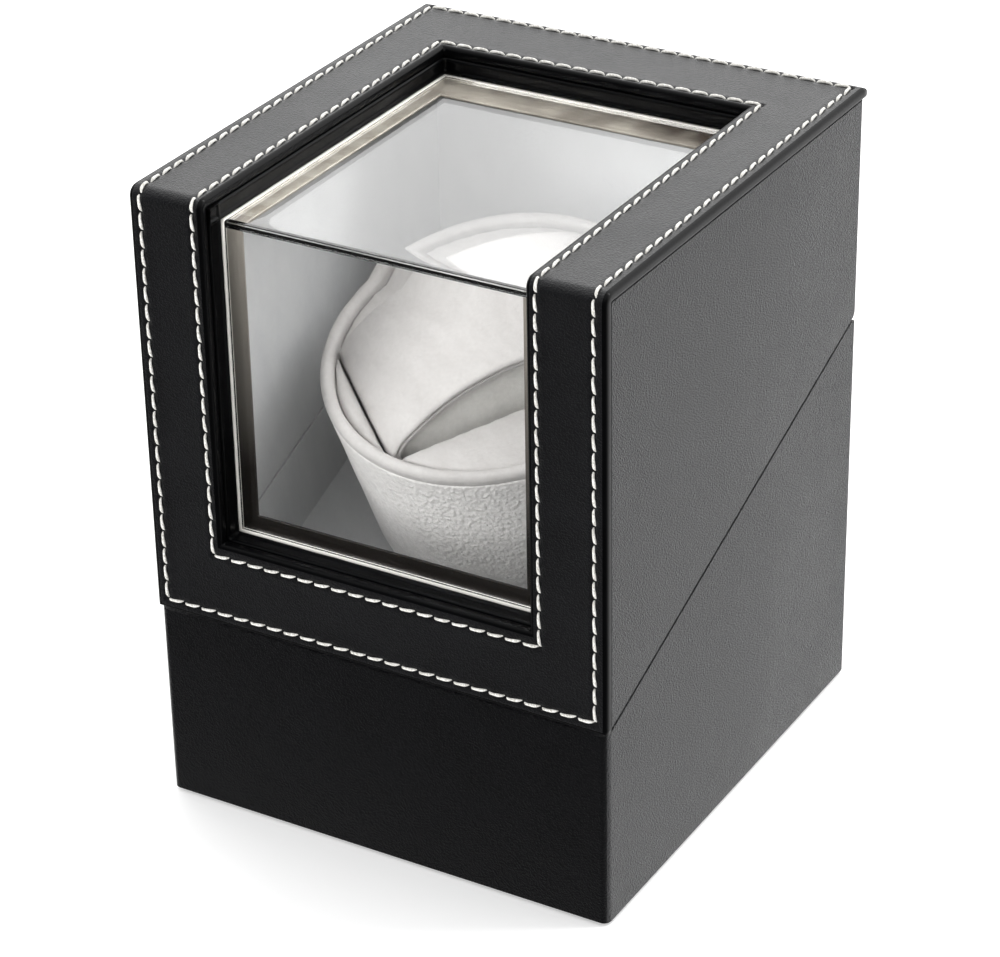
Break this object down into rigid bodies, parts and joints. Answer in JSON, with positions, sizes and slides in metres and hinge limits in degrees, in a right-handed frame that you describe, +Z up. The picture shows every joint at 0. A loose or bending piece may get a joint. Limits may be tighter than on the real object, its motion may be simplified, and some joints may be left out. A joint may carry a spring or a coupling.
{
  "type": "watch winder box",
  "caption": "Cube-shaped watch winder: leather-covered base and hinged lid on a sloping joint, wrap-over window, padded turning cup with watch pillow and geared drive.",
  "frame": {"origin": "middle of the underside, on the surface the box stands on", "axes": "+Z up, +Y from the windowed front to the hinged back, +X to the right seen from the front"},
  "size_m": [0.125, 0.1358, 0.166],
  "materials": {
    "black_leather": "smooth faux leather, satin",
    "fibreboard": "raw fibreboard",
    "grey_velvet": "short-pile velvet",
    "cream_suede": "short-pile suede",
    "cream_leather": "grained faux leather",
    "foam": "open-cell foam",
    "black_felt": "felt",
    "clear_acrylic": "polished clear sheet",
    "champagne_metal": "satin",
    "black_plastic": "fine texture",
    "white_plastic": "moulded",
    "steel": "plated",
    "bronze": "sintered",
    "copper": "wound wire",
    "circuit_board": "solder mask",
    "battery_wrap": "gloss sleeve",
    "wire_insulation": "smooth"
  },
  "bodies": {
    "base": {"base_front_board": "fibreboard", "base_back_board": "fibreboard", "base_left_board": "fibreboard", "base_right_board": "fibreboard", "base_bottom_board": "fibreboard", "base_leather": "black_leather", "base_liner": "grey_velvet", "deck_board": "fibreboard", "deck_velvet": "grey_velvet", "deck_cleats": "fibreboard", "bottom_felt": "black_felt", "gear_case": "black_plastic", "gear_case_cover": "black_plastic", "gear_case_screws": "steel", "gear_pins": "steel", "spindle_bush": "bronze", "motor_can": "steel", "motor_end_cap": "black_plastic", "control_board": "circuit_board", "dc_jack": "black_plastic", "mode_switch_body": "black_plastic", "rear_plate": "black_plastic", "rear_plate_screws": "steel", "battery_tray": "black_plastic", "battery_cells": "battery_wrap", "battery_contacts": "steel", "inner_wires": "wire_insulation", "hinge_base_leaves": "steel", "hinge_pins": "steel", "hinge_base_screws": "steel"},
    "lid": {"face_panel_board": "fibreboard", "face_leather": "black_leather", "lid_front_board": "fibreboard", "lid_top_board": "fibreboard", "lid_left_board": "fibreboard", "lid_right_board": "fibreboard", "lid_back_board": "fibreboard", "lid_leather": "black_leather", "lid_liner": "grey_velvet", "window_pane": "clear_acrylic", "window_trim": "champagne_metal", "hinge_lid_leaves": "steel", "hinge_lid_screws": "steel"},
    "rotor": {"cup_shell": "black_plastic", "cup_cover": "cream_leather", "cup_lining": "cream_suede", "cup_insert": "cream_suede", "turntable_disc": "black_plastic", "spindle": "steel", "output_gear": "white_plastic", "cup_screw": "steel"},
    "pillow": {"pillow_sleeve": "cream_suede", "pillow_core": "foam"},
    "second_gear": {"gear_second": "white_plastic"},
    "first_gear": {"gear_first": "white_plastic"},
    "motor_rotor": {"motor_shaft": "steel", "motor_pinion": "bronze", "motor_armature": "copper"},
    "mode_knob": {"mode_knob": "black_plastic"},
    "battery_door": {"battery_door": "black_plastic"}
  },
  "joints": [
    {"name": "lid_hinge", "type": "hinge", "parent": "base", "child": "lid", "pos_m": [0, 0.0675, 0.1057], "axis": [-1, 0, 0], "range_deg": [0, 95]},
    {"name": "cup_spin", "type": "hinge", "parent": "base", "child": "rotor", "pos_m": [0, -0.0065, 0.1145], "axis": [0, -0.366, 0.9306], "continuous": true},
    {"name": "pillow_lift", "type": "slide", "parent": "rotor", "child": "pillow", "axis": [0, -0.366, 0.9306], "range_m": [0, 0.02]},
    {"name": "gear_second_spin", "type": "hinge", "parent": "base", "child": "second_gear", "pos_m": [-0.0135, -0.0065, 0.1145], "axis": [0, -0.366, 0.9306], "continuous": true},
    {"name": "gear_first_spin", "type": "hinge", "parent": "base", "child": "first_gear", "pos_m": [-0.0135, 0.00606, 0.11944], "axis": [0, -0.366, 0.9306], "continuous": true},
    {"name": "motor_spin", "type": "hinge", "parent": "base", "child": "motor_rotor", "pos_m": [0, 0.00606, 0.11944], "axis": [0, -0.366, 0.9306], "continuous": true},
    {"name": "mode_slide", "type": "slide", "parent": "base", "child": "mode_knob", "axis": [1, 0, 0], "range_m": [-0.002, 0.002]},
    {"name": "battery_door_pull", "type": "slide", "parent": "base", "child": "battery_door", "axis": [0, 0, -1], "range_m": [0, 0.015]}
  ],
  "couplings": [
    {"joint": "gear_second_spin", "follows": "cup_spin", "ratio": -3.5},
    {"joint": "gear_first_spin", "follows": "cup_spin", "ratio": 12.25},
    {"joint": "motor_spin", "follows": "cup_spin", "ratio": -42.875}
  ]
}
